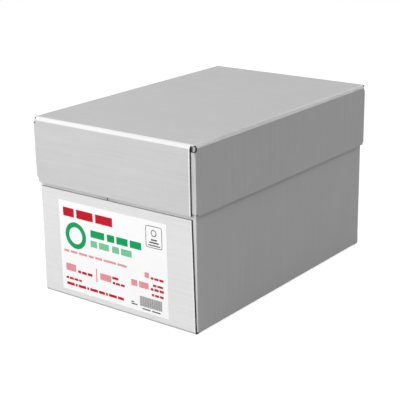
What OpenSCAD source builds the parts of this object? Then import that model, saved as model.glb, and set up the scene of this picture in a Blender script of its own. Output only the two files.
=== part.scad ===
// Two-piece telescoping carton of wrapped copy paper. The tray and the lid are
// each one folded blank of corrugated board with glued corner flaps. The origin
// is on the floor under the middle of the carton, the label faces -Y and +Z is up.

/* [Reams] */
// Length of a wrapped ream, across the carton
ream_l = 281; // [200:1:340]
// Width of a wrapped ream, along the carton
ream_w = 216; // [150:1:320]
// Height of a wrapped ream
ream_h = 52; // [42:1:60]
// Reams in one stack
layers = 5; // [4:1:8]
// Stacks that stand side by side in the tray
stacks = 2; // [1:1:3]
// Gap between the stacks
stack_gap = 0.6; // [0.4:0.1:3]
// Radius of the wrapper's long edges
wrap_r = 2; // [1:0.5:5]
// Thickness of the folded wrapper on the ends of a ream
wrap_fold = 0.6; // [0.4:0.1:1]
// Height of the open slot between the wrapper's end folds
wrap_slot = 6; // [3:1:12]

/* [Board] */
// Thickness of the corrugated board
board = 3; // [2:0.5:4]
// Outer radius of the folds along the floor and the top
fold_r = 5; // [4:0.5:6]
// Outer radius of the upright folds at the corners
bend_r = 4; // [3.5:0.5:5]
// Board left above an open corner
corner_web = 1.5; // [1:0.1:1.9]

/* [Tray] */
// Room between the reams and the side walls
side_room = 1.5; // [0.5:0.5:4]
// Room between the reams and the end flaps
end_room = 0.7; // [0.5:0.1:3]
// Room above the reams, under the lid
head_room = 6; // [5:1:20]
// Inset of the end panel's upright edges at the floor
tray_inset_foot = 2; // [1:0.5:5]
// Inset of the end panel's upright edges at its rim
tray_inset_rim = 5.5; // [3:0.5:9]
// Height of the open corner beside the floor
tray_relief = 5; // [4:0.5:8]
// Gap between the two flaps of one end
seam = 1.5; // [1:0.5:4]
// Distance of that gap from the middle of the end
seam_shift = 12; // [0:1:30]

/* [Lid] */
// Height of the lid
skirt = 98; // [70:1:130]
// Gap between the lid and the tray
lid_clear = 0.8; // [0.5:0.1:2]
// Strip of the tray's flaps that shows between the lid and the end panel
reveal = 6.5; // [4:0.5:12]
// Inset of the lid's end panel from the corners
lid_inset = 7.5; // [5:0.5:12]
// Height of the open corner beside the top
lid_relief = 10; // [7:0.5:14]
// Length of the lid's glued flaps
lid_flap = 92; // [60:1:110]
// How far the flaps stop short of the lid's rim
flap_rise = 3; // [1:0.5:6]
// Width of the worn-off lower corner at the front left
worn_w = 8; // [3:0.5:12]
// Height of that worn-off corner
worn_h = 9; // [4:0.5:14]

/* [Label] */
// Width of the paper label
label_w = 203; // [120:1:220]
// Height of the paper label
label_h = 140; // [80:1:148]
// Thickness of the paper label
label_t = 0.3; // [0.2:0.1:0.6]
// Distance of the label's lower edge from the floor
label_foot = 13; // [5:1:18]
// Distance of the label's middle from the middle of the end
label_shift = 5; // [0:1:12]

/* [Hidden] */
$fn = 48;
tray_w = ream_l + 2 * side_room + 2 * board;
stack_run = stacks * ream_w + (stacks - 1) * stack_gap;
tray_d = stack_run + 2 * end_room + 4 * board;
tray_h = board + layers * ream_h + head_room;
lid_w = tray_w + 2 * lid_clear + 2 * board;
lid_d = tray_d + 2 * lid_clear + 2 * board;
height = tray_h + board;
lid_rim = height - skirt;
tray_end = lid_rim - reveal;
cut = 1;

function two_digits(n) = str(n < 10 ? "0" : "", n);
ream_names = [for (i = [1:stacks * layers]) str("ream_", two_digits(i))];

// A strip of board bent to a right angle, seen end on. It is round outside and
// creased sharp inside, where the score crushes the flutes. Its outer corner is at
// the origin and its legs run along +X and +Y.
module bent_strip(leg_x, leg_y, r) {
  translate([r, 0]) square([leg_x - r, board]);
  translate([0, r]) square([board, leg_y - r]);
  intersection() {
    translate([-cut, -cut]) square(r + cut);
    difference() {
      translate([r, r]) circle(r);
      translate([board, board]) square(r);
    }
  }
}

// The floor panel and both side walls: one channel along Y, open at the top. Above
// the open corners its walls stop where the upright folds start.
module channel(w, d, h, relief) {
  wall_end = d / 2 - board - bend_r;
  difference() {
    rotate([90, 0, 0]) linear_extrude(d - 2 * board, center = true)
      for (side = [0, 1])
        mirror([side, 0]) translate([-w / 2, 0]) bent_strip(w / 2, h, fold_r);
    for (end = [0, 1]) mirror([0, end, 0])
      translate([-w, wall_end, relief]) cube([2 * w, d, h]);
  }
}

// Everything inside the rounded folds between the floor panel and the ends.
module end_fold_envelope(w, d, h) {
  rotate([90, 0, 90]) linear_extrude(w + 2 * cut, center = true) union() {
    translate([-d / 2, fold_r]) square([d, h]);
    translate([fold_r - d / 2, 0]) square([d - 2 * fold_r, fold_r]);
    for (end = [-1, 1]) translate([end * (d / 2 - fold_r), fold_r]) circle(fold_r);
  }
}

// The end panel at -Y with its fold, narrowing from its foot to its rim.
module end_panel(w, d, end_h, inset_foot, inset_rim) {
  intersection() {
    rotate([90, 0, 90]) translate([-d / 2, 0])
      linear_extrude(w, center = true) bent_strip(2 * fold_r, end_h, fold_r);
    rotate([90, 0, 0]) linear_extrude(d + 2 * cut, center = true)
      polygon([[inset_foot - w / 2, -cut], [w / 2 - inset_foot, -cut],
               [w / 2 - inset_rim, end_h + cut], [inset_rim - w / 2, end_h + cut]]);
  }
}

// The upright fold at the corner (-X, -Y) with the flap that runs behind the end
// panel, from the open corner up to the flap's own rim.
module corner_flap(w, d, flap, relief, flap_h) {
  translate([-w / 2, board - d / 2, relief])
    linear_extrude(flap_h - relief) bent_strip(flap, bend_r + board, bend_r);
}

// The arched opening in the corner (-X, -Y), where three folds would meet.
module open_corner(w, d, relief, inset) {
  r = (relief - corner_web) / 2;
  translate([-w / 2 - cut, board - d / 2, corner_web + r])
    rotate([0, 90, 0]) cylinder(r = r, h = inset + cut);
}

// Half a carton, standing on its floor panel: the floor, two side walls, two end
// panels and the glued corner flaps, all of one blank. flaps holds the lengths of
// the flaps of the -X and the +X wall.
module folded_blank(w, d, h, end_h, inset_foot, inset_rim, relief, flaps, flap_h) {
  difference() {
    union() {
      intersection() {
        channel(w, d, h, relief);
        end_fold_envelope(w, d, h);
      }
      for (end = [0, 1]) mirror([0, end, 0]) {
        end_panel(w, d, end_h, inset_foot, inset_rim);
        for (side = [0, 1])
          mirror([side, 0, 0]) corner_flap(w, d, flaps[side], relief, flap_h);
      }
    }
    for (end = [0, 1], side = [0, 1])
      mirror([0, end, 0]) mirror([side, 0, 0]) open_corner(w, d, relief, inset_foot);
  }
}

// The tray: its flaps are as tall as its walls and nearly meet, and its end
// panels stop below the lid.
module tray() {
  half = (tray_w - seam) / 2;
  color([0.86, 0.86, 0.86])
    folded_blank(tray_w, tray_d, tray_h, tray_end, tray_inset_foot, tray_inset_rim,
                 tray_relief, [half - seam_shift, half + seam_shift], tray_h);
}

// The lid: the same kind of blank turned upside down over the tray, resting on
// the tray's rim, with one lower corner worn off.
module lid() {
  color([0.8, 0.8, 0.8]) difference() {
    translate([0, 0, height]) mirror([0, 0, 1])
      folded_blank(lid_w, lid_d, skirt, skirt, lid_inset, lid_inset,
                   lid_relief, [lid_flap, lid_flap], skirt - flap_rise);
    translate([-lid_w / 2, -lid_d / 2, lid_rim])
      rotate([90, 0, 0]) linear_extrude(2 * (2 * board + bend_r), center = true)
        polygon([[-cut, -cut], [worn_w, -cut], [worn_w, 0], [0, worn_h], [-cut, worn_h]]);
  }
}

// The label, glued flat on the front end panel.
module label() {
  color([0.98, 0.98, 0.98])
    translate([-label_w / 2 - label_shift, -tray_d / 2 - label_t, label_foot])
      cube([label_w, label_t, label_h]);
}

// One wrapped ream: a block with rounded long edges, whose wrapper is folded in
// two layers at each end and leaves a slot between the folds.
module wrapped_ream() {
  color([0.95, 0.95, 0.93]) difference() {
    rotate([90, 0, 90]) linear_extrude(ream_l, center = true)
      translate([-ream_w / 2, 0]) union() {
        translate([0, wrap_r]) square([ream_w, ream_h - 2 * wrap_r]);
        translate([wrap_r, 0]) square([ream_w - 2 * wrap_r, ream_h]);
        for (x = [wrap_r, ream_w - wrap_r], y = [wrap_r, ream_h - wrap_r])
          translate([x, y]) circle(wrap_r);
      }
    for (end = [-1, 1])
      translate([end * ream_l / 2, 0, ream_h / 2])
        cube([2 * wrap_fold, ream_w + 2 * cut, wrap_slot], center = true);
  }
}

// The ream of that number, counted up the front stack first.
module ream(index) {
  stack = floor(index / layers);
  layer = index - stack * layers;
  translate([0, stack * (ream_w + stack_gap) - (stack_run - ream_w) / 2,
             board + layer * ream_h])
    wrapped_ream();
}

tray();
lid();
label();
for (i = [0:len(ream_names) - 1])
  ream(i);
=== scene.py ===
"""Looks of a two-piece corrugated carton that holds ten wrapped reams of paper.

The tray and the lid are folded blanks of fluted board. Each is a merged copy of its solid
with hollow cut edges, wavy fluting in them, pressed folds and slightly bowed panels.
"""
import math

import bpy
from mathutils import Matrix, Vector


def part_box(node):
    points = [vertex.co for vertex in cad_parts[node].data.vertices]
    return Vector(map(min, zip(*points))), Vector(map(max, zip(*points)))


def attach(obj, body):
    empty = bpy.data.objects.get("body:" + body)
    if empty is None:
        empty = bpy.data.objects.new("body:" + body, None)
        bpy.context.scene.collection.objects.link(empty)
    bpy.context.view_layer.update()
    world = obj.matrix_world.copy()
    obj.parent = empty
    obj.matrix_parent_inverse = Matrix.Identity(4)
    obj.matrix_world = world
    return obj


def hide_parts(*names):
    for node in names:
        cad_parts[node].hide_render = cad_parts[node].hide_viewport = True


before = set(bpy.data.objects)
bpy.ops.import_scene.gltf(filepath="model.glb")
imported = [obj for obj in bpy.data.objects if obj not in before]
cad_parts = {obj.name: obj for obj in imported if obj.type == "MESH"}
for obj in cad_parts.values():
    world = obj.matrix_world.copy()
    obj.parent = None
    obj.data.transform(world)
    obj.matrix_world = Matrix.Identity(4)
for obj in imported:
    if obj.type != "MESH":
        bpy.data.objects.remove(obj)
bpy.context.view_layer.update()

MM = 0.001
EPS = 0.02 * MM

# Merging of a solid's triangles: the distance of doubles, and the angle within a flat face
MERGE_DISTANCE = 0.005 * MM
MERGE_ANGLE = math.radians(0.5)

# Board: its thickness, its two liners, and the outer radii of its folds and upright bends
BOARD = 3 * MM
LINER = 0.4 * MM
FOLD_R = 5 * MM
BEND_R = 4 * MM

# Fluting in the cut edges: its wave, its paper, how far it lies back from the edge, how far
# it stops short of a corner, and the depth of a hollow edge
FLUTE_PITCH = 6.4 * MM
FLUTE_PAPER = 0.25 * MM
FLUTE_RECESS = 0.3 * MM
FLUTE_GAP = 1 * MM
EDGE_DEPTH = 4 * MM
STEPS_PER_WAVE = 8

# Tray: insets of the end panels' upright edges, height of the open corners, height of the
# end panels, and the seam between the two flaps of an end
TRAY_INSET_FOOT = 2 * MM
TRAY_INSET_RIM = 5.5 * MM
TRAY_RELIEF = 5 * MM
TRAY_END = 167.5 * MM
TRAY_SEAM = 1.5 * MM
TRAY_SEAM_SHIFT = 12 * MM

# Lid: inset of the end panels' upright edges, height of the open corners, length of the
# flaps, and how far these stop short of the rim
LID_INSET = 7.5 * MM
LID_RELIEF = 10 * MM
LID_FLAP = 92 * MM
LID_FLAP_RISE = 3 * MM

# Cut edges: how far above the closed panel they turn hollow, the smallest face that does,
# and the whitened strip beside the end panels' upright ones
STRAIGHT_FROM = 6.5 * MM
SMALLEST_HOLLOW = 8 * MM * MM
WORN_RIM = 2 * MM

# Open corners: the board left beyond the hole, and the strip of it beside the closed panel
# that keeps its fold liner, past which it is painted near-black as shade
CORNER_WEB = 1.5 * MM
WEB_RIM = 0.4 * MM

# Pressing: how flat a fold and how square a bend becomes, from 0 to 1, the strip cut beside
# a crease, and the share of the squared radius past which a point is on the outside
FOLD_FLATNESS = 0.55
BEND_SQUARENESS = 0.6
CREASE_SUPPORT = 0.8 * MM
OUTSIDE = 0.9

# Faces of a solid: the cosines past which one is square to an axis, and past which it faces
# along that axis
SQUARE_ON = 0.9995
FACING = 0.7

# Facets of the folds: the least slope towards X of one beside a wall, and how far inside
# its arc the middle of one may lie
FACET_SLOPE = 0.02
FACET_SAG = 0.03 * MM

# Bows of the panels, at their middle, and the grid of cuts that lets them bow
TRAY_WALL_BOW = 0.6 * MM
TRAY_END_BOW = 0.5 * MM
LID_WALL_BOW = 0.9 * MM
LID_END_BOW = 0.6 * MM
LID_TOP_CROWN = 1.4 * MM
BOARD_STEP = 24 * MM
LABEL_STEP = 12 * MM

# Print: how far the ink's face stands off the label, the ink's thickness, and the largest
# corner radius of a bar, as a share of its smaller side
INK_FACE = 0.05 * MM
INK_THICKNESS = 0.04 * MM
ROUNDEST = 0.45

# Reams: the folds of the wrapper on an end, one layer of it, the radius of the long edges,
# the open slot between the flaps, the inset of the flaps, and the tip of a tuck
REAM_FOLD = 0.6 * MM
REAM_LAYER = 0.28 * MM
REAM_ROUND = 2 * MM
REAM_SLOT = 6 * MM
REAM_INSET = 1.2 * MM
REAM_TIP = 3 * MM

# Tones of paper and board, from black at 0 to white at 1
TRAY_WALL_TONE = 0.63
TRAY_END_TONE = 0.76
# The tray's flaps are a little darker than its end panels: painted shade of their recess
# behind the end panels and under the lid's rim
TRAY_FLAP_SHADED_TONE = 0.70
# The tray's folds, along its foot on the floor, are darker than its walls and ends: painted
# contact shadow
TRAY_FOLD_SHADED_TONE = 0.50
LID_WALL_TONE = 0.62
LID_END_TONE = 0.58
LID_FLAP_TONE = 0.60
# The lid's folds are far lighter than its walls and ends: a painted highlight along its scored
# folds
LID_FOLD_HIGHLIGHT_TONE = 0.82
INSIDE_TONE = 0.42
WORN_TONE = 0.86
EDGE_TONE = 0.28
# The fluting is far darker than brown paper: painted shade in the hollow cut edges
FLUTE_SHADED_TONE = 0.09
# Near-black paper for cut edges and their hollows: painted shade in the open flutes
FLUTE_SHADE_TONE = 0.035
LABEL_TONE = 0.96
WRAPPER_TONE = 0.86

# Range that most of a noise pattern lies in
NOISE_LOW = 0.3
NOISE_HIGH = 0.7

# Pattern of a liner: how dense its streaks, clouds and fibres are, and how far they tint it
STREAKS_ACROSS = 300.0
STREAKS_ALONG = 7.0
CLOUDS = 14.0
FIBRES = 420.0
LINER_TINT = 0.06

# Inks
RED = (0.56, 0.010, 0.024)
PALE_RED = (0.80, 0.30, 0.33)
GREEN = (0.004, 0.36, 0.11)
PALE_GREEN = (0.20, 0.58, 0.33)
DARK = (0.02, 0.02, 0.02)

# Stage: the floor's size and tone, how far it is lifted where it is seen, how strongly the
# sky lights the carton, and the softboxes' distance and aim
FLOOR_SIZE = 16
FLOOR_TONE = 0.42
FLOOR_LIFT = 0.85
SKY_STRENGTH = 0.28
LIGHT_DISTANCE = 2.6
LIGHT_TARGET = Vector((0, 0, 0.13))

# Camera, in degrees and metres, and its lens in millimetres
CAMERA_AZIMUTH = 37.632
CAMERA_ELEVATION = 18.041
CAMERA_ROLL = -0.998
CAMERA_DISTANCE = 1.7554
CAMERA_AIM_RIGHT = -0.0156
CAMERA_AIM_UP = 0.1051
CAMERA_LENS = 98.59
CAMERA_SENSOR = 36

tray_low, tray_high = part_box("tray")
lid_low, lid_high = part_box("lid")
label_low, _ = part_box("label")


# Modelling by hand

def deselect_everything():
    """Clears the selection, so that an operator works on one piece alone."""
    bpy.ops.object.select_all(action="DESELECT")


def make_active(piece):
    deselect_everything()
    piece.select_set(True)
    bpy.context.view_layer.objects.active = piece


def enter_edit():
    """Opens the active piece in edit mode and keeps its selection."""
    bpy.ops.object.mode_set(mode="EDIT")


def leave_edit():
    bpy.ops.object.mode_set(mode="OBJECT")


def edit(piece, mode="FACE"):
    """Opens a piece in edit mode with nothing selected in it."""
    make_active(piece)
    enter_edit()
    bpy.ops.mesh.select_mode(type=mode)
    bpy.ops.mesh.select_all(action="DESELECT")


def select_all():
    bpy.ops.mesh.select_all(action="SELECT")


def thicken(offset):
    """Makes a closed solid of the flat piece in edit mode, and leaves that mode."""
    select_all()
    bpy.ops.mesh.extrude_region_move(TRANSFORM_OT_translate={"value": offset})
    select_all()
    bpy.ops.mesh.normals_make_consistent(inside=False)
    leave_edit()


def bisect_all(piece, axis, places):
    """Cuts a whole piece along planes square to one axis."""
    edit(piece)
    for place in places:
        point, direction = [0.0, 0.0, 0.0], [0.0, 0.0, 0.0]
        point["XYZ".index(axis)] = place
        direction["XYZ".index(axis)] = 1.0
        select_all()
        bpy.ops.mesh.bisect(plane_co=point, plane_no=direction)
    leave_edit()


def cut_into_grid(piece, axes="XYZ", step=BOARD_STEP):
    """Cuts a piece along planes, so that its faces can take a bow."""
    for axis in axes:
        reach = [v.co["XYZ".index(axis)] for v in piece.data.vertices]
        low, high = min(reach), max(reach)
        count = int((high - low) / step)
        bisect_all(piece, axis, [low + (high - low) * i / (count + 1)
                                 for i in range(1, count + 1)])


def apply_modifiers(piece):
    make_active(piece)
    for modifier in list(piece.modifiers):
        bpy.ops.object.modifier_apply(modifier=modifier.name)


def place_at_origin(piece):
    """Puts the piece's place into its mesh and leaves its object at the origin."""
    make_active(piece)
    bpy.ops.object.transform_apply(location=True, rotation=True, scale=True)


def join(pieces, name):
    """Makes one piece of several."""
    deselect_everything()
    for piece in pieces:
        piece.select_set(True)
    bpy.context.view_layer.objects.active = pieces[0]
    bpy.ops.object.join()
    pieces[0].name = name
    pieces[0].data.name = name
    return pieces[0]


def smooth(piece, degrees=32):
    make_active(piece)
    bpy.ops.object.shade_smooth_by_angle(angle=math.radians(degrees))


def merged_copy(cad_node, name):
    """A copy of a solid's mesh with its loose triangles merged into whole faces."""
    piece = bpy.data.objects.new(name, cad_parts[cad_node].data.copy())
    piece.data.name = name
    bpy.context.scene.collection.objects.link(piece)
    edit(piece)
    select_all()
    bpy.ops.mesh.remove_doubles(threshold=MERGE_DISTANCE)
    bpy.ops.mesh.dissolve_limited(angle_limit=MERGE_ANGLE)
    leave_edit()
    return piece


def paint(piece, *materials):
    """Gives a piece its material slots."""
    piece.data.materials.clear()
    for material in materials:
        piece.data.materials.append(material)


def smoothstep(value, low, high):
    t = min(1.0, max(0.0, (value - low) / (high - low)))
    return t * t * (3 - 2 * t)


# Materials

def new_material(name):
    material = bpy.data.materials.new(name)
    material.use_nodes = True
    tree = material.node_tree
    shader = tree.nodes["Principled BSDF"]
    return material, tree, shader


def grey(value, warmth=0.0):
    return (value * (1 + warmth), value, value * (1 - warmth))


def node(tree, kind, **inputs):
    """Adds a node, with the values of its inputs by name."""
    made = tree.nodes.new(kind)
    for name, value in inputs.items():
        made.inputs[name].default_value = value
    return made


def math_node(tree, operation, *values):
    """Adds a math node. Each value is a number or another node's output."""
    made = tree.nodes.new("ShaderNodeMath")
    made.operation = operation
    for socket, value in zip(made.inputs, values):
        if isinstance(value, (int, float)):
            socket.default_value = value
        else:
            tree.links.new(value, socket)
    return made.outputs[0]


def weighted_sum(tree, *terms):
    """Adds up outputs, each times its weight."""
    total = 0
    for output, weight in terms:
        total = math_node(tree, "MULTIPLY_ADD", output, weight, total)
    return total


def noise(tree, scale, detail=3.0, roughness=0.55):
    """Noise on Object coordinates. scale is one number, or one for each axis."""
    if isinstance(scale, float):
        scale = [scale] * 3
    coordinates = tree.nodes.new("ShaderNodeTexCoord")
    mapping = node(tree, "ShaderNodeMapping", Scale=scale)
    pattern = node(tree, "ShaderNodeTexNoise", Scale=1.0, Detail=detail, Roughness=roughness)
    tree.links.new(coordinates.outputs["Object"], mapping.inputs["Vector"])
    tree.links.new(mapping.outputs["Vector"], pattern.inputs["Vector"])
    return pattern.outputs["Fac"]


def tint(tree, shader, pattern, dark, light):
    """Colours a shader from dark to light, as a noise pattern rises."""
    ramp = tree.nodes.new("ShaderNodeValToRGB")
    lower, upper = ramp.color_ramp.elements
    lower.position, lower.color = NOISE_LOW, (*dark, 1)
    upper.position, upper.color = NOISE_HIGH, (*light, 1)
    tree.links.new(pattern, ramp.inputs["Fac"])
    tree.links.new(ramp.outputs["Color"], shader.inputs["Base Color"])


def raise_surface(tree, shader, pattern, strength, height):
    """Gives a shader's surface a fine relief that follows a pattern."""
    bump = node(tree, "ShaderNodeBump", Strength=strength, Distance=height)
    tree.links.new(pattern, bump.inputs["Height"])
    tree.links.new(bump.outputs["Normal"], shader.inputs["Normal"])


def flute_ridges(tree, across):
    """The waves of the fluting that press through a liner, along one axis."""
    coordinates = tree.nodes.new("ShaderNodeTexCoord")
    split = tree.nodes.new("ShaderNodeSeparateXYZ")
    tree.links.new(coordinates.outputs["Object"], split.inputs[0])
    phase = math_node(tree, "MULTIPLY", split.outputs[across], 2 * math.pi / FLUTE_PITCH)
    return math_node(tree, "SINE", phase)


def liner_material(name, tone, across, warmth=0.0, roughness=0.5):
    """Printed board liner. across is the axis, 0 to 2, that the flutes follow one another
    along, so its streaks and ridges run square to that axis."""
    material, tree, shader = new_material(name)
    streak_scale = [STREAKS_ALONG] * 3
    streak_scale[across] = STREAKS_ACROSS
    streaks = noise(tree, streak_scale, detail=2.0)
    clouds = noise(tree, CLOUDS)
    fibres = noise(tree, FIBRES, detail=4.0, roughness=0.7)
    ridges = flute_ridges(tree, across)
    mottle = weighted_sum(tree, (streaks, 0.38), (clouds, 0.27), (fibres, 0.35))
    tint(tree, shader, mottle, grey(tone * (1 - LINER_TINT), warmth),
         grey(tone * (1 + LINER_TINT), warmth))
    relief = weighted_sum(tree, (ridges, 0.30), (streaks, 1.0), (fibres, 0.35))
    raise_surface(tree, shader, relief, strength=0.5, height=0.12 * MM)
    shader.inputs["Roughness"].default_value = roughness
    shader.inputs["Specular IOR Level"].default_value = 0.4
    return material


def raw_paper_material(name, tone, warmth):
    """Uncoated brown-grey paper, for cut edges and the fluting; the fluting's low tones are
    painted shade in the hollow flutes.
    """
    material, tree, shader = new_material(name)
    fibres = noise(tree, 900.0, detail=4.0, roughness=0.7)
    tint(tree, shader, fibres, grey(tone * 0.8, warmth), grey(tone * 1.15, warmth))
    raise_surface(tree, shader, fibres, strength=0.6, height=0.08 * MM)
    shader.inputs["Roughness"].default_value = 0.9
    return material


def label_paper_material(name, tone):
    """Smooth white label paper."""
    material, tree, shader = new_material(name)
    clouds = noise(tree, 60.0)
    tint(tree, shader, clouds, grey(tone * 0.985), grey(tone * 1.01))
    fibres = noise(tree, 700.0)
    raise_surface(tree, shader, fibres, strength=0.2, height=0.03 * MM)
    shader.inputs["Roughness"].default_value = 0.45
    return material


def ink_material(name, colour):
    """Printing ink on the label, a little uneven as on any press."""
    material, tree, shader = new_material(name)
    grain = noise(tree, 500.0)
    dark = tuple(part * 0.94 for part in colour)
    light = tuple(min(1.0, part * 1.05 + 0.004) for part in colour)
    tint(tree, shader, grain, dark, light)
    shader.inputs["Roughness"].default_value = 0.8
    shader.inputs["Specular IOR Level"].default_value = 0.1
    return material


def wrapper_material(name, tone):
    """White ream wrapper: smooth coated paper with soft tension creases."""
    material, tree, shader = new_material(name)
    clouds = noise(tree, 18.0, detail=2.0)
    tint(tree, shader, clouds, grey(tone * 0.97, 0.006), grey(tone * 1.01, 0.004))
    creases = noise(tree, (24.0, 60.0, 60.0), detail=4.0, roughness=0.6)
    raise_surface(tree, shader, creases, strength=0.5, height=0.5 * MM)
    shader.inputs["Roughness"].default_value = 0.35
    shader.inputs["Coat Weight"].default_value = 0.15
    return material


edge_paper = raw_paper_material("cut_edge_paper", EDGE_TONE, warmth=0.05)
shaded_flute_paper = raw_paper_material("fluting_paper_with_painted_shade", FLUTE_SHADED_TONE, warmth=0.07)
flute_shade_paper = raw_paper_material("painted_shade_flute_paper", FLUTE_SHADE_TONE, warmth=0.03)

(WALL_SLOT, END_SLOT, FLAP_SLOT, INSIDE_SLOT, EDGE_SLOT, FLUTE_SLOT, WORN_SLOT, FOLD_SLOT,
 FLUTE_SHADE_SLOT) = range(9)


def board_materials(name, wall_tone, end_tone, flap_tone, fold_tone):
    """The slots of a folded blank: walls, ends and flaps outside, inside, edges, fluting
    darkened by painted shade, worn rims, the folds of the closed panel, which carry a painted
    highlight on the lid and painted shade on the tray, and near-black paper painted as the
    shade in the open flutes."""
    return [
        liner_material(name + "_liner_walls", wall_tone, 1),
        liner_material(name + "_liner_ends", end_tone, 2),
        liner_material(name + "_liner_flaps", flap_tone, 0),
        liner_material(name + "_liner_inside", INSIDE_TONE, 1, warmth=0.10, roughness=0.75),
        edge_paper,
        shaded_flute_paper,
        liner_material(name + "_liner_worn", WORN_TONE, 2, roughness=0.7),
        liner_material(name + "_liner_folds_painted_light", fold_tone, 1, roughness=0.42),
        flute_shade_paper,
    ]


# Folded blanks

class Blank:
    """Where the parts of one folded blank lie. u is the height above its closed panel's
    outside, so that the upside-down lid is described in the same way as the tray."""

    def __init__(self, low, high, closed_z, up, inset, relief):
        self.half_w = (high.x - low.x) / 2
        self.half_d = (high.y - low.y) / 2
        self.height = high.z - low.z
        self.closed_z = closed_z
        self.up = up
        self.corner_x = self.half_w - inset
        self.corner_y = self.half_d - BOARD - (relief - CORNER_WEB) / 2

    def u(self, z):
        return self.up * (z - self.closed_z)

    def z(self, u):
        return self.closed_z + self.up * u

    def is_skin(self, centre, normal):
        """Whether a face lies on the board's inside or outside, and not on a cut edge."""
        u = self.u(centre.z)
        if abs(normal.z) > SQUARE_ON:
            return u < EPS or abs(u - BOARD) < EPS
        if abs(normal.x) > SQUARE_ON:
            on_wall = abs(centre.x) > self.half_w - EPS
            return on_wall or abs(centre.y) < self.half_d - 2 * BOARD - EPS
        if abs(normal.y) > SQUARE_ON:
            return abs(centre.y) > self.half_d - EPS or abs(centre.x) < self.half_w - BOARD
        beyond, below = abs(centre.y) - (self.half_d - FOLD_R), FOLD_R - u
        on_end_fold = min(beyond, below) > 0 and FOLD_R - math.hypot(beyond, below) < FACET_SAG
        return abs(normal.x) > FACET_SLOPE or on_end_fold

    def skin_slot(self, centre, normal):
        """The material slot of a face on the board's inside or outside."""
        if abs(normal.x) > FACING:
            outward = normal.x * centre.x > 0
        elif abs(normal.y) > FACING:
            outward = normal.y * centre.y > 0
        else:
            outward = normal.z * self.up < 0
        if not outward:
            return INSIDE_SLOT
        if self.u(centre.z) < FOLD_R and max(abs(part) for part in normal) < SQUARE_ON:
            return FOLD_SLOT
        if abs(normal.y) < FACING:
            return WALL_SLOT
        on_end_panel = abs(centre.y) > self.half_d - BOARD / 2
        return END_SLOT if on_end_panel else FLAP_SLOT

    def cut_slot(self, centre, normal):
        """The material slot of a cut edge. Those square to X, and those near the closed panel,
        get near-black paper: painted shade in the open flutes.
        """
        if abs(normal.x) > SQUARE_ON or self.u(centre.z) < self.height / 4:
            return FLUTE_SHADE_SLOT
        return EDGE_SLOT


tray_blank = Blank(tray_low, tray_high, tray_low.z, 1, TRAY_INSET_FOOT, TRAY_RELIEF)
lid_blank = Blank(lid_low, lid_high, lid_high.z, -1, LID_INSET, LID_RELIEF)


def hollow_edges(piece, blank):
    """Gives every face its slot and opens the cut edges between their two liners."""
    bisect_all(piece, "Z", [blank.z(STRAIGHT_FROM)])
    for face in piece.data.polygons:
        skin = blank.is_skin(face.center, face.normal)
        pick = blank.skin_slot if skin else blank.cut_slot
        face.material_index = pick(face.center, face.normal)
    for face in piece.data.polygons:
        u = blank.u(face.center.z)
        side_on = abs(face.normal.x) > SQUARE_ON
        face.select = (face.material_index in (EDGE_SLOT, FLUTE_SHADE_SLOT)
                       and face.area > SMALLEST_HOLLOW and u > STRAIGHT_FROM
                       and (side_on or u > blank.height / 2))
    enter_edit()
    bpy.ops.mesh.inset(thickness=LINER, use_individual=True, use_even_offset=True)
    bpy.ops.mesh.extrude_region_shrink_fatten(
        TRANSFORM_OT_shrink_fatten={"value": -EDGE_DEPTH, "use_even_offset": False})
    leave_edit()
    for face in piece.data.polygons:
        if face.select and face.material_index == EDGE_SLOT:
            face.material_index = FLUTE_SLOT


def whiten_rims(piece, blank, half_foot, half_rim, rim):
    """Marks the strip beside the end panels' upright cut edges at +X, where the knife has
    broken the printed face open. The panels are half_foot by half_rim wide, up to rim."""
    lean = (half_rim - half_foot) / rim
    point = (half_foot - WORN_RIM, 0, blank.z(0))
    across = Vector((1, 0, -lean * blank.up)).normalized()
    edit(piece)
    leave_edit()
    for face in piece.data.polygons:
        on_end_panel = abs(face.center.y) > blank.half_d - EPS
        face.select = on_end_panel and abs(face.normal.y) > SQUARE_ON
    enter_edit()
    bpy.ops.mesh.bisect(plane_co=point, plane_no=across)
    leave_edit()
    for face in piece.data.polygons:
        worn_from = half_foot + lean * blank.u(face.center.z) - WORN_RIM
        if face.material_index == END_SLOT and face.center.x > worn_from:
            face.material_index = WORN_SLOT


def shade_webs(piece, blank):
    """Paints the fold faces of the web of board beyond each open corner near-black, past a
    narrow strip beside the closed panel: painted shade of the gap around the hole.
    """
    bisect_all(piece, "X", [-blank.corner_x, blank.corner_x])
    bisect_all(piece, "Y", [-blank.corner_y, blank.corner_y])
    for face in piece.data.polygons:
        x, y, u = abs(face.center.x), abs(face.center.y), blank.u(face.center.z)
        on_web = x > blank.corner_x and y > blank.corner_y and u > WEB_RIM
        if on_web and face.material_index == FOLD_SLOT:
            face.material_index = FLUTE_SHADE_SLOT


def support_creases(piece, blank):
    """Cuts a narrow strip beside each crease of the closed panel, which keeps it crisp."""
    beside = FOLD_R + CREASE_SUPPORT
    x, y = blank.half_w - beside, blank.half_d - beside
    bisect_all(piece, "X", [-x, x])
    bisect_all(piece, "Y", [-y, y])
    bisect_all(piece, "Z", [blank.z(beside)])


def press_folds(piece, blank):
    """Presses the round folds along the closed panel towards a flat band, as a score does."""
    for vertex in piece.data.vertices:
        co = vertex.co
        u = blank.u(co.z)
        for axis, half in ((0, blank.half_w), (1, blank.half_d)):
            a = (abs(co[axis]) - (half - FOLD_R)) / FOLD_R
            c = (FOLD_R - u) / FOLD_R
            if a > 0 and c > 0 and a * a + c * c > OUTSIDE:
                k = 1 + FOLD_FLATNESS * (1 / (a + c) - 1)
                co[axis] = math.copysign(half - FOLD_R + a * k * FOLD_R, co[axis])
                co.z = blank.z(FOLD_R - c * k * FOLD_R)
                break


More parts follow.
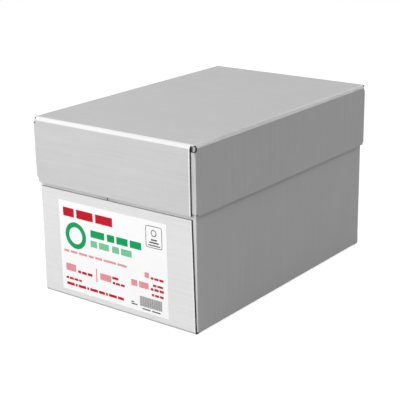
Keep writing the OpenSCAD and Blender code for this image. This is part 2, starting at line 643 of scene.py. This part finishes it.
def square_bends(piece, blank):
    """Tightens the outside of the upright bends at the corners, towards a square corner."""
    middle_x, middle_y = blank.half_w - BEND_R, blank.half_d - BOARD - BEND_R
    for vertex in piece.data.vertices:
        co = vertex.co
        a, c = (abs(co.x) - middle_x) / BEND_R, (abs(co.y) - middle_y) / BEND_R
        if min(a, c) > 0 and max(a, c) < 1 and a * a + c * c > OUTSIDE:
            k = 1 + BEND_SQUARENESS * (1 / max(a, c) - 1)
            co.x = math.copysign(middle_x + a * k * BEND_R, co.x)
            co.y = math.copysign(middle_y + c * k * BEND_R, co.y)


def bow_panels(piece, blank, wall_bow, end_bow, belly, crown=0.0):
    """Bows a blank's walls and ends outwards, with what is glued on them, and crowns its
    closed panel. belly turns a share of the blank's height into a share of the bow."""
    for vertex in piece.data.vertices:
        co = vertex.co
        u = blank.u(co.z)
        swell = belly(u / blank.height)
        middle_x = max(0.0, 1 - (co.x / blank.half_w) ** 2)
        middle_y = max(0.0, 1 - (co.y / blank.half_d) ** 2)
        wall = smoothstep(abs(co.x), blank.half_w - 3 * BOARD, blank.half_w - BOARD)
        end = smoothstep(abs(co.y), blank.half_d - 4 * BOARD, blank.half_d - 2 * BOARD)
        closed = 1 - smoothstep(u, BOARD, 3 * BOARD)
        co.x += math.copysign(wall_bow * wall * middle_y * swell, co.x)
        co.y += math.copysign(end_bow * end * middle_x * swell, co.y)
        co.z -= blank.up * crown * closed * middle_x * middle_y


def bow_tray(piece):
    """Bows the tray most at half its height."""
    bow_panels(piece, tray_blank, TRAY_WALL_BOW, TRAY_END_BOW,
               lambda share: max(0.0, 4 * share * (1 - share)))


def bow_lid(piece):
    """Bows the lid most at its rim."""
    bow_panels(piece, lid_blank, LID_WALL_BOW, LID_END_BOW, lambda share: share,
               LID_TOP_CROWN)


def flute_strip(start, run, length, across, inward):
    """A strip of the wavy middle paper that shows in a hollow cut edge."""
    waves = length / FLUTE_PITCH
    steps = max(2, round(waves * STEPS_PER_WAVE))
    depth = EDGE_DEPTH - 2 * FLUTE_RECESS
    amplitude = (BOARD - 2 * LINER - FLUTE_PAPER) / 2
    bpy.ops.mesh.primitive_grid_add(x_subdivisions=steps, y_subdivisions=1, size=1)
    strip = bpy.context.active_object
    for vertex in strip.data.vertices:
        s, t = vertex.co.x + 0.5, vertex.co.y + 0.5
        swing = amplitude * math.sin(2 * math.pi * s * waves)
        vertex.co = start + run * (s * length) + inward * (t * depth) + across * swing
    thick = strip.modifiers.new("paper", "SOLIDIFY")
    thick.thickness = FLUTE_PAPER
    thick.offset = 0
    apply_modifiers(strip)
    return strip


def end_strips(blank, half_foot, half_rim, rim):
    """The strips in the upright edges of the end panels, which are half_foot by half_rim
    wide, up to rim."""
    strips = []
    for y_side in (-1, 1):
        for x_side in (-1, 1):
            y = y_side * (blank.half_d - BOARD / 2)
            foot_z, rim_z = blank.z(STRAIGHT_FROM + LINER), blank.z(rim - FLUTE_GAP)
            start = Vector((x_side * (half_foot - FLUTE_RECESS), y, foot_z))
            finish = Vector((x_side * (half_rim - FLUTE_RECESS), y, rim_z))
            run = finish - start
            strips.append(flute_strip(start, run.normalized(), run.length,
                                      Vector((0, 1, 0)), Vector((-x_side, 0, 0))))
    return strips


def rim_strips(blank, flap_rim, flaps):
    """The strips in the upper edges of the walls and of the flaps. flaps are the lengths of
    the flaps of the -X and the +X wall."""
    strips = []
    down = Vector((0, 0, -blank.up))
    wall_half = blank.half_d - 2 * BOARD - BEND_R
    for side, flap in zip((-1, 1), flaps):
        x = side * (blank.half_w - BOARD / 2)
        start = Vector((x, -wall_half, blank.z(blank.height))) + down * FLUTE_RECESS
        strips.append(flute_strip(start, Vector((0, 1, 0)), 2 * wall_half,
                                  Vector((1, 0, 0)), down))
        for end in (-1, 1):
            x = side * (blank.half_w - FOLD_R - FLUTE_GAP)
            y = end * (blank.half_d - 1.5 * BOARD)
            start = Vector((x, y, blank.z(flap_rim))) + down * FLUTE_RECESS
            strips.append(flute_strip(start, Vector((-side, 0, 0)),
                                      flap - FOLD_R - 2 * FLUTE_GAP,
                                      Vector((0, 1, 0)), down))
    return strips


def press_board(board, blank):
    """Presses a board's folds and bends, with the cuts that its panels need to bow."""
    cut_into_grid(board)
    support_creases(board, blank)
    press_folds(board, blank)
    square_bends(board, blank)


def add_fluting(board, strips):
    """Joins a board and its strips of fluting."""
    for strip in strips:
        paint(strip, *board.data.materials)
        for face in strip.data.polygons:
            face.material_index = FLUTE_SLOT
    return join([board] + strips, board.name)


def make_tray():
    tray = merged_copy("tray", "tray_board")
    paint(tray, *board_materials("tray", TRAY_WALL_TONE, TRAY_END_TONE, TRAY_FLAP_SHADED_TONE,
                                 TRAY_FOLD_SHADED_TONE))
    half_foot = tray_blank.half_w - TRAY_INSET_FOOT
    half_rim = tray_blank.half_w - TRAY_INSET_RIM
    half_end = tray_blank.half_w - TRAY_SEAM / 2
    flaps = (half_end - TRAY_SEAM_SHIFT, half_end + TRAY_SEAM_SHIFT)
    hollow_edges(tray, tray_blank)
    whiten_rims(tray, tray_blank, half_foot, half_rim, TRAY_END)
    shade_webs(tray, tray_blank)
    press_board(tray, tray_blank)
    strips = end_strips(tray_blank, half_foot, half_rim, TRAY_END)
    strips += rim_strips(tray_blank, tray_blank.height, flaps)
    tray = add_fluting(tray, strips)
    bow_tray(tray)
    smooth(tray)
    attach(tray, "tray")
    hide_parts("tray")


def make_lid():
    lid = merged_copy("lid", "lid_board")
    paint(lid, *board_materials("lid", LID_WALL_TONE, LID_END_TONE, LID_FLAP_TONE,
                                LID_FOLD_HIGHLIGHT_TONE))
    half_end = lid_blank.half_w - LID_INSET
    hollow_edges(lid, lid_blank)
    whiten_rims(lid, lid_blank, half_end, half_end, lid_blank.height)
    shade_webs(lid, lid_blank)
    press_board(lid, lid_blank)
    strips = end_strips(lid_blank, half_end, half_end, lid_blank.height)
    strips += rim_strips(lid_blank, lid_blank.height - LID_FLAP_RISE, (LID_FLAP, LID_FLAP))
    lid = add_fluting(lid, strips)
    bow_lid(lid)
    smooth(lid)
    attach(lid, "lid")
    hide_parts("lid")


# Label

# Fields of print as (left, low, right, high), and rings as (x, z, radius, width), in
# millimetres from the label's left and lower edges
RED_BARS = [(8.3, 116.5, 104.3, 130), (32.2, 31, 60.9, 35.2), (68.7, 24.7, 70.1, 46),
            (99.8, 37, 111.5, 41), (100.1, 29.4, 123.3, 33), (7.4, 17.4, 38.6, 21),
            (172.3, 53.4, 195.3, 57), (175.9, 43.4, 194.1, 46.8), (171.6, 36.8, 195.5, 40.6),
            (173.3, 28.4, 194.8, 32)]
PALE_RED_BARS = [(8.5, 31, 28.5, 42.5), (76.3, 30.6, 97.9, 41), (161.2, 54, 169.5, 62),
                 (135.7, 36.6, 168, 46)]
GREEN_BARS = [(61.2, 93, 88, 104), (93, 93, 157, 104)]
GREEN_RING = (31.5, 89, 20.5, 7.5)
PALE_GREEN_BARS = [(60.5, 78, 96, 88), (102, 78, 138.8, 88)]
DARK_BARS = [(134.7, 10.6, 140, 12.2), (134.7, 7.4, 146, 9.2), (155, 4, 170, 5.8),
             (173, 4, 188, 5.8), (172, 108, 189, 110), (175, 112, 186, 114),
             (170, 104, 191, 105.6)]
DARK_STRIPES = (151, 8.4, 191.6, 23.8)
DARK_FRAME = (165.6, 101, 194.8, 133.3)
DARK_RING = (180.2, 123, 5, 1.2)

# Corner radii of the bars and of the frame, and the frame's width, in millimetres
BAR_CORNER = 0.8
SMALL_CORNER = 0.2
FRAME_CORNER = 3
FRAME_WIDTH = 0.9

# Rows of print, with the shares of their words and the gaps between these
LOWER_ROW = (8.2, 8, 120.7, 12.4)
LOWER_WORDS = (4, 1, 4, 1, 4, 3, 1, 4, 3)
LOWER_GAP = 2
MIDDLE_ROW = (6.2, 60.6, 128.3, 64)
MIDDLE_WORDS = (3, 4, 5, 3, 4, 7, 5)
MIDDLE_GAP = 2.6

# Blocks in a bar: their usual length and their gap, as shares of the bar's height
BLOCK_LENGTH = 2.2
BLOCK_GAP = 0.35


def word_row(left, low, right, high, words, gap):
    """Bars side by side, as long as the given shares, that fill a row."""
    free = (right - left) - gap * (len(words) - 1)
    total = sum(words)
    bars, x = [], left
    for share in words:
        width = free * share / total
        bars.append((x, low, x + width, high))
        x += width + gap
    return bars


def word_blocks(left, low, right, high):
    """Splits a bar into blocks, as a line of print looks from afar."""
    tall = high - low
    count = max(1, round((right - left) / (BLOCK_LENGTH * tall)))
    words = [2 + i * i % 3 for i in range(count)]
    return word_row(left, low, right, high, words, BLOCK_GAP * tall)


def stripes(left, low, right, high, count=30):
    """Upright stripes whose widths follow a plain rule."""
    pitch = (right - left) / count
    bars = []
    for i in range(count):
        x = left + i * pitch
        bars.append((x, low, x + pitch * (0.45 + 0.15 * (i * i % 3)), high))
    return bars


def ink_rectangle(left, low, right, high, corner, segments):
    """A flat rectangle with rounded corners before the label, left open in edit mode."""
    bpy.ops.mesh.primitive_plane_add(size=1)
    rectangle = bpy.context.active_object
    for vertex in rectangle.data.vertices:
        x = label_low.x + (left + (right - left) * (vertex.co.x + 0.5)) * MM
        z = label_low.z + (low + (high - low) * (vertex.co.y + 0.5)) * MM
        vertex.co = (x, label_low.y - INK_FACE, z)
    edit(rectangle, "VERT")
    select_all()
    radius = min(corner, ROUNDEST * min(right - left, high - low)) * MM
    bpy.ops.mesh.bevel(offset=radius, segments=segments, affect="VERTICES")
    return rectangle


def keep_rim(width):
    """Leaves a rim of the flat piece in edit mode, and thickens it."""
    bpy.ops.mesh.select_mode(type="FACE")
    select_all()
    bpy.ops.mesh.inset(thickness=width * MM)
    bpy.ops.mesh.delete(type="FACE")
    thicken((0, INK_THICKNESS, 0))


def printed_bar(left, low, right, high, corner):
    """One rounded bar of ink on the label's face."""
    bar = ink_rectangle(left, low, right, high, corner, 3)
    thicken((0, INK_THICKNESS, 0))
    return bar


def printed_frame(left, low, right, high, corner, width):
    """A rounded outline of ink."""
    outline = ink_rectangle(left, low, right, high, corner, 6)
    keep_rim(width)
    return outline


def printed_ring(x, z, radius, width, sides=64):
    """A ring of ink on the label's face."""
    centre = (label_low.x + x * MM, label_low.y - INK_FACE, label_low.z + z * MM)
    bpy.ops.mesh.primitive_circle_add(vertices=sides, radius=radius * MM, fill_type="NGON",
                                      location=centre, rotation=(math.pi / 2, 0, 0))
    ring = bpy.context.active_object
    place_at_origin(ring)
    edit(ring)
    keep_rim(width)
    return ring


def print_bars(bars, corner=BAR_CORNER):
    return [printed_bar(*bar, corner) for bar in bars]


def print_words(bars):
    """Inks each bar as a row of word-like blocks."""
    return [piece for bar in bars for piece in print_bars(word_blocks(*bar))]


def finish_print(pieces, name, colour):
    """Makes one piece of all that is printed in a colour."""
    piece = join(pieces, name)
    paint(piece, ink_material(name + "_ink", colour))
    cut_into_grid(piece, "XZ", LABEL_STEP)
    bow_tray(piece)
    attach(piece, "tray")


def make_label():
    label = merged_copy("label", "label_sheet")
    paint(label, label_paper_material("label_paper", LABEL_TONE))
    cut_into_grid(label, "XZ", LABEL_STEP)
    bow_tray(label)
    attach(label, "tray")
    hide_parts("label")


def make_print():
    red = print_words(RED_BARS)
    red += print_bars(word_row(*LOWER_ROW, LOWER_WORDS, LOWER_GAP))
    finish_print(red, "print_red", RED)
    pale_red = print_words(PALE_RED_BARS)
    pale_red += print_bars(word_row(*MIDDLE_ROW, MIDDLE_WORDS, MIDDLE_GAP))
    finish_print(pale_red, "print_pale_red", PALE_RED)
    green = print_words(GREEN_BARS)
    green.append(printed_ring(*GREEN_RING))
    finish_print(green, "print_green", GREEN)
    finish_print(print_words(PALE_GREEN_BARS), "print_pale_green", PALE_GREEN)
    dark = print_bars(stripes(*DARK_STRIPES) + DARK_BARS, SMALL_CORNER)
    dark.append(printed_frame(*DARK_FRAME, FRAME_CORNER, FRAME_WIDTH))
    dark.append(printed_ring(*DARK_RING, sides=32))
    finish_print(dark, "print_dark", DARK)


# Reams

def end_flap(x, direction, outline):
    """A folded flap of the wrapper on a ream's end. outline holds (y, z) corners."""
    bpy.ops.mesh.primitive_circle_add(vertices=len(outline), radius=1, fill_type="NGON")
    flap = bpy.context.active_object
    for vertex, (y, z) in zip(flap.data.vertices, outline):
        vertex.co = (x, y, z)
    edit(flap)
    thicken((direction * REAM_LAYER, 0, 0))
    return flap


def ream_body(centre, size):
    """The wrapped block of sheets, with its long edges rounded."""
    bpy.ops.mesh.primitive_cube_add(size=1, location=centre)
    body = bpy.context.active_object
    body.scale = (size.x - 2 * REAM_FOLD, size.y, size.z)
    place_at_origin(body)
    edit(body, "EDGE")
    leave_edit()
    for side in body.data.edges:
        first, second = (body.data.vertices[i].co for i in side.vertices)
        side.select = abs(first.x - second.x) > size.x / 2
    enter_edit()
    bpy.ops.mesh.bevel(offset=REAM_ROUND, segments=4, affect="EDGES")
    leave_edit()
    return body


def ream_end(centre, size, direction):
    """The wrapper's folds on one end: a tuck from each side, under a lower and an upper
    flap."""
    inner = centre.x + direction * (size.x / 2 - REAM_FOLD)
    outer = inner + direction * REAM_LAYER
    reach, rise = size.y / 2 - REAM_INSET, size.z / 2 - REAM_INSET
    drop = (size.z - REAM_SLOT) / 2
    folds = []
    for side in (-1, 1):
        edge = centre.y + side * reach
        tip = edge - side * drop
        folds.append(end_flap(inner, direction, [
            (edge, centre.z - rise), (tip, centre.z - REAM_TIP / 2),
            (tip, centre.z + REAM_TIP / 2), (edge, centre.z + rise)]))
    for side in (-1, 1):
        z_edge = centre.z + side * rise
        z_tip = centre.z + side * REAM_SLOT / 2
        folds.append(end_flap(outer, direction, [
            (centre.y - reach, z_edge), (centre.y - reach + drop, z_tip),
            (centre.y + reach - drop, z_tip), (centre.y + reach, z_edge)]))
    return folds


def wrapped_ream(low, high):
    """A ream in its wrapper: rounded long edges, side tucks and end flaps."""
    centre, size = (low + high) / 2, high - low
    pieces = [ream_body(centre, size)]
    for direction in (-1, 1):
        pieces += ream_end(centre, size, direction)
    ream = join(pieces, "wrapped_ream")
    smooth(ream, 30)
    return ream


def make_reams():
    names = sorted(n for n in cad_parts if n.startswith("ream_"))
    first_low, first_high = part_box(names[0])
    first = wrapped_ream(first_low, first_high)
    paint(first, wrapper_material("ream_wrapper", WRAPPER_TONE))
    for name in names:
        low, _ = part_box(name)
        ream = first
        if name != names[0]:
            ream = bpy.data.objects.new("wrapped_" + name, first.data.copy())
            bpy.context.scene.collection.objects.link(ream)
            ream.data.transform(Matrix.Translation(low - first_low))
        ream.name = "wrapped_" + name
        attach(ream, "tray")
        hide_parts(name)


# Stage

def is_seen(tree):
    """1 for rays that show the background: from the camera, or through gloss or glass."""
    path = tree.nodes.new("ShaderNodeLightPath")
    shown = math_node(tree, "MAXIMUM", path.outputs["Is Camera Ray"],
                      path.outputs["Is Glossy Ray"])
    return math_node(tree, "MAXIMUM", shown, path.outputs["Is Transmission Ray"])


def make_floor():
    """A grey floor that takes the carton's shadow and looks nearly white."""
    bpy.ops.mesh.primitive_grid_add(x_subdivisions=8, y_subdivisions=8, size=FLOOR_SIZE)
    floor = bpy.context.active_object
    floor.name = "studio_floor"
    material, tree, shader = new_material("pale_floor")
    shader.inputs["Base Color"].default_value = (*grey(FLOOR_TONE), 1)
    shader.inputs["Roughness"].default_value = 0.9
    shader.inputs["Specular IOR Level"].default_value = 0.0
    shader.inputs["Emission Color"].default_value = (1, 1, 1, 1)
    lift = math_node(tree, "MULTIPLY", is_seen(tree), FLOOR_LIFT)
    tree.links.new(lift, shader.inputs["Emission Strength"])
    paint(floor, material)


def make_world():
    """A sky that looks white and lights the carton by SKY_STRENGTH."""
    world = bpy.data.worlds.new("studio")
    bpy.context.scene.world = world
    world.use_nodes = True
    tree = world.node_tree
    background = tree.nodes["Background"]
    background.inputs["Color"].default_value = (1, 1, 1, 1)
    strength = math_node(tree, "MULTIPLY_ADD", is_seen(tree), 1 - SKY_STRENGTH, SKY_STRENGTH)
    tree.links.new(strength, background.inputs["Strength"])


def soft_light(name, direction, size, level):
    """A square softbox that faces the carton. level is its share of the full light there,
    at which a white surface that faces it renders white."""
    data = bpy.data.lights.new(name, "AREA")
    data.shape = "SQUARE"
    data.size = size
    data.energy = level * (math.pi * LIGHT_DISTANCE) ** 2
    light = bpy.data.objects.new(name, data)
    light.location = LIGHT_TARGET + Vector(direction).normalized() * LIGHT_DISTANCE
    light.rotation_mode = "QUATERNION"
    light.rotation_quaternion = (LIGHT_TARGET - light.location).to_track_quat("-Z", "Y")
    bpy.context.scene.collection.objects.link(light)


def make_lights():
    soft_light("key_softbox", (-0.58, -0.31, 0.755), size=1.2, level=0.18)
    soft_light("front_softbox", (-0.06, -0.94, 0.34), size=1.4, level=0.64)
    soft_light("side_softbox", (0.55, 0.15, 0.82), size=0.9, level=0.11)
    soft_light("back_softbox", (0, 0.95, 0.3), size=1.4, level=0.12)


def make_camera():
    azimuth, elevation = math.radians(CAMERA_AZIMUTH), math.radians(CAMERA_ELEVATION)
    back = Vector((math.sin(azimuth) * math.cos(elevation),
                   -math.cos(azimuth) * math.cos(elevation), math.sin(elevation)))
    turn = (-back).to_track_quat("-Z", "Y").to_matrix() @ Matrix.Rotation(
        math.radians(CAMERA_ROLL), 3, "Z")
    aim = turn @ Vector((CAMERA_AIM_RIGHT, CAMERA_AIM_UP, 0))
    data = bpy.data.cameras.new("camera")
    data.lens = CAMERA_LENS
    data.sensor_width = CAMERA_SENSOR
    camera = bpy.data.objects.new("camera", data)
    camera.matrix_world = Matrix.Translation(aim + back * CAMERA_DISTANCE) @ turn.to_4x4()
    bpy.context.scene.collection.objects.link(camera)
    bpy.context.scene.camera = camera


make_camera()
make_world()
make_floor()
make_lights()
make_tray()
make_lid()
make_label()
make_print()
make_reams()

bpy.context.scene.view_settings.view_transform = "Standard"
